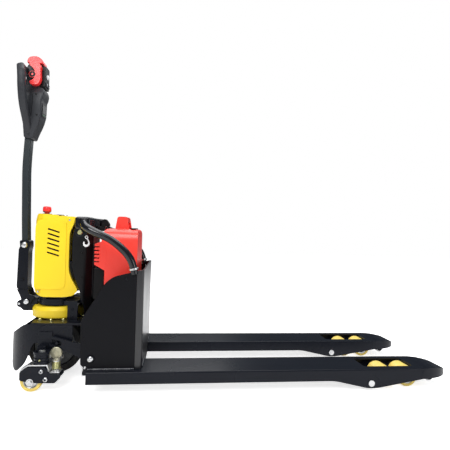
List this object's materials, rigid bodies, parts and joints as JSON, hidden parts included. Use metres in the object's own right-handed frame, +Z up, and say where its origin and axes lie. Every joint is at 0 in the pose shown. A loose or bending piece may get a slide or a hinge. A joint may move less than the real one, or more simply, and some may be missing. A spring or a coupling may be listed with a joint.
{
  "type": "pallet jack",
  "caption": "Electric pallet jack with a lift-out battery, sprung castors, steered drive wheel, upright tiller and forks raised by a rocker and push rods.",
  "frame": {"origin": "centre of the bounding box, on the floor", "axes": "+X towards the fork tips, +Y to the left of the operator who faces the forks, +Z up"},
  "size_m": [1.6641, 0.568, 1.2318],
  "materials": {
    "black_paint": "satin, slightly blue black",
    "black_plastic": "fine grain",
    "grey_plastic": "fine grain",
    "yellow_cover": "moulded, semi gloss",
    "red_plastic": "moulded, semi gloss",
    "yellow_tyre": "polyurethane",
    "black_tyre": "dark rubber",
    "zinc": "zinc plated",
    "cast_grey": "painted casting",
    "chrome": "ground and plated",
    "white_plastic": "moulded"
  },
  "bodies": {
    "chassis": {"wheel_guard": "black_paint", "drive_frame": "black_paint", "castor_mount_left": "black_paint", "castor_mount_right": "black_paint", "power_cover": "yellow_cover", "hydraulic_unit": "cast_grey", "lift_cylinder": "cast_grey"},
    "fork_frame": {"fork_left": "black_paint", "fork_right": "black_paint", "side_plate_left": "black_paint", "side_plate_right": "black_paint", "load_face_plate": "black_paint", "battery_tray": "black_paint", "heel_beam": "black_paint", "guard_tube_left": "black_paint", "guard_tube_right": "black_paint", "crosshead_left": "black_plastic", "crosshead_right": "black_plastic", "mast_housing": "black_plastic", "lift_ram": "chrome", "load_arm_pin_left": "zinc", "load_arm_pin_right": "zinc"},
    "rocker": {"lift_rocker": "black_paint"},
    "battery": {"battery_case": "red_plastic"},
    "latch": {"battery_latch": "black_plastic"},
    "drive_unit": {"drive_unit_drum": "yellow_cover", "drive_gearbox": "cast_grey", "tiller_base": "black_paint"},
    "drive_wheel": {"drive_wheel_hub": "cast_grey", "drive_wheel_tyre": "black_tyre"},
    "tiller": {"tiller_tube": "black_paint", "tiller_bracket": "black_paint", "head_shell": "grey_plastic"},
    "throttle": {"throttle_butterfly": "red_plastic"},
    "belly_button": {"reverse_button": "red_plastic"},
    "horn": {"horn_button": "white_plastic"},
    "raise": {"raise_button": "white_plastic"},
    "lower": {"lower_button": "white_plastic"},
    "stop_button": {"emergency_stop": "red_plastic"},
    "rod_left": {"push_rod_left": "zinc"},
    "arm_left": {"load_arm_left": "black_paint"},
    "tandem_left": {"tandem_link_left": "zinc"},
    "inner_roller_left": {"load_roller_inner_left": "yellow_tyre"},
    "outer_roller_left": {"load_roller_outer_left": "yellow_tyre"},
    "guide_roller_left": {"entry_roller_left": "white_plastic"},
    "castor_left": {"castor_fork_left": "zinc", "castor_cheeks_left": "black_paint", "castor_spring_left": "zinc"},
    "castor_wheel_left": {"castor_wheel_left": "yellow_tyre"},
    "rod_right": {"push_rod_right": "zinc"},
    "arm_right": {"load_arm_right": "black_paint"},
    "tandem_right": {"tandem_link_right": "zinc"},
    "inner_roller_right": {"load_roller_inner_right": "yellow_tyre"},
    "outer_roller_right": {"load_roller_outer_right": "yellow_tyre"},
    "guide_roller_right": {"entry_roller_right": "white_plastic"},
    "castor_right": {"castor_fork_right": "zinc", "castor_cheeks_right": "black_paint", "castor_spring_right": "zinc"},
    "castor_wheel_right": {"castor_wheel_right": "yellow_tyre"}
  },
  "joints": [
    {"name": "fork_lift", "type": "slide", "parent": "chassis", "child": "fork_frame", "axis": [0, 0, 1], "range_m": [0, 0.115]},
    {"name": "rocker_turn", "type": "hinge", "parent": "fork_frame", "child": "rocker", "pos_m": [-0.499, 0, 0.116], "axis": [0, -1, 0], "range_deg": [0, 47.3]},
    {"name": "rod_push_left", "type": "slide", "parent": "fork_frame", "child": "rod_left", "axis": [1, 0, 0], "range_m": [0, 0.0475]},
    {"name": "arm_turn_left", "type": "hinge", "parent": "fork_frame", "child": "arm_left", "pos_m": [0.503, 0.199, 0.028], "axis": [0, 1, 0], "range_deg": [0, 68]},
    {"name": "tandem_turn_left", "type": "hinge", "parent": "arm_left", "child": "tandem_left", "pos_m": [0.621, 0.199, 0.037], "axis": [0, 1, 0], "range_deg": [-68, 0]},
    {"name": "inner_roller_spin_left", "type": "hinge", "parent": "tandem_left", "child": "inner_roller_left", "pos_m": [0.5775, 0.199, 0.037], "axis": [0, 1, 0], "continuous": true},
    {"name": "outer_roller_spin_left", "type": "hinge", "parent": "tandem_left", "child": "outer_roller_left", "pos_m": [0.6645, 0.199, 0.037], "axis": [0, 1, 0], "continuous": true},
    {"name": "guide_roller_spin_left", "type": "hinge", "parent": "fork_frame", "child": "guide_roller_left", "pos_m": [0.763, 0.199, 0.027], "axis": [0, 1, 0], "continuous": true},
    {"name": "castor_swivel_left", "type": "hinge", "parent": "chassis", "child": "castor_left", "pos_m": [-0.668, 0.217, 0.092], "axis": [0, 0, 1], "continuous": true},
    {"name": "castor_spin_left", "type": "hinge", "parent": "castor_left", "child": "castor_wheel_left", "pos_m": [-0.698, 0.217, 0.037], "axis": [0, 1, 0], "continuous": true},
    {"name": "rod_push_right", "type": "slide", "parent": "fork_frame", "child": "rod_right", "axis": [1, 0, 0], "range_m": [0, 0.0475]},
    {"name": "arm_turn_right", "type": "hinge", "parent": "fork_frame", "child": "arm_right", "pos_m": [0.503, -0.199, 0.028], "axis": [0, 1, 0], "range_deg": [0, 68]},
    {"name": "tandem_turn_right", "type": "hinge", "parent": "arm_right", "child": "tandem_right", "pos_m": [0.621, -0.199, 0.037], "axis": [0, 1, 0], "range_deg": [-68, 0]},
    {"name": "inner_roller_spin_right", "type": "hinge", "parent": "tandem_right", "child": "inner_roller_right", "pos_m": [0.5775, -0.199, 0.037], "axis": [0, 1, 0], "continuous": true},
    {"name": "outer_roller_spin_right", "type": "hinge", "parent": "tandem_right", "child": "outer_roller_right", "pos_m": [0.6645, -0.199, 0.037], "axis": [0, 1, 0], "continuous": true},
    {"name": "guide_roller_spin_right", "type": "hinge", "parent": "fork_frame", "child": "guide_roller_right", "pos_m": [0.763, -0.199, 0.027], "axis": [0, 1, 0], "continuous": true},
    {"name": "castor_swivel_right", "type": "hinge", "parent": "chassis", "child": "castor_right", "pos_m": [-0.668, -0.217, 0.092], "axis": [0, 0, 1], "continuous": true},
    {"name": "castor_spin_right", "type": "hinge", "parent": "castor_right", "child": "castor_wheel_right", "pos_m": [-0.698, -0.217, 0.037], "axis": [0, 1, 0], "continuous": true},
    {"name": "steering", "type": "hinge", "parent": "chassis", "child": "drive_unit", "pos_m": [-0.67, 0, 0.214], "axis": [0, 0, 1], "range_deg": [-90, 90]},
    {"name": "drive_spin", "type": "hinge", "parent": "drive_unit", "child": "drive_wheel", "pos_m": [-0.67, 0, 0.105], "axis": [0, 1, 0], "continuous": true},
    {"name": "tiller_tilt", "type": "hinge", "parent": "drive_unit", "child": "tiller", "pos_m": [-0.783, 0, 0.276], "axis": [0, -1, 0], "range_deg": [0, 75], "stiffness_Nm_per_rad": 35, "springref_deg": -17.19},
    {"name": "throttle_turn", "type": "hinge", "parent": "tiller", "child": "throttle", "pos_m": [-0.783, 0, 1.152], "axis": [0, 1, 0], "range_deg": [-15, 15], "stiffness_Nm_per_rad": 0.6},
    {"name": "belly_press", "type": "slide", "parent": "tiller", "child": "belly_button", "axis": [0, 0, -1], "range_m": [0, 0.0035], "stiffness_N_per_m": 2500, "springref_m": -0.002},
    {"name": "horn_press", "type": "slide", "parent": "tiller", "child": "horn", "axis": [-1, 0, 0], "range_m": [0, 0.003], "stiffness_N_per_m": 600, "springref_m": -0.001},
    {"name": "raise_press", "type": "slide", "parent": "tiller", "child": "raise", "axis": [-1, 0, 0], "range_m": [0, 0.0025], "stiffness_N_per_m": 600, "springref_m": -0.001},
    {"name": "lower_press", "type": "slide", "parent": "tiller", "child": "lower", "axis": [-1, 0, 0], "range_m": [0, 0.0025], "stiffness_N_per_m": 600, "springref_m": -0.001},
    {"name": "stop_press", "type": "slide", "parent": "chassis", "child": "stop_button", "axis": [0, 0, -1], "range_m": [0, 0.005]},
    {"name": "battery_lift_out", "type": "slide", "parent": "fork_frame", "child": "battery", "axis": [0, 0, 1], "range_m": [0, 0.25]},
    {"name": "latch_turn", "type": "hinge", "parent": "fork_frame", "child": "latch", "pos_m": [-0.509, 0, 0.563], "axis": [0, -1, 0], "range_deg": [0, 15], "stiffness_Nm_per_rad": 0.4}
  ],
  "couplings": [
    {"joint": "rocker_turn", "follows": "fork_lift", "rad_per_m": 7.1696},
    {"joint": "rod_push_left", "follows": "fork_lift", "ratio": 0.413},
    {"joint": "arm_turn_left", "follows": "fork_lift", "rad_per_m": 10.32},
    {"joint": "tandem_turn_left", "follows": "fork_lift", "rad_per_m": -10.32},
    {"joint": "rod_push_right", "follows": "fork_lift", "ratio": 0.413},
    {"joint": "arm_turn_right", "follows": "fork_lift", "rad_per_m": 10.32},
    {"joint": "tandem_turn_right", "follows": "fork_lift", "rad_per_m": -10.32}
  ]
}
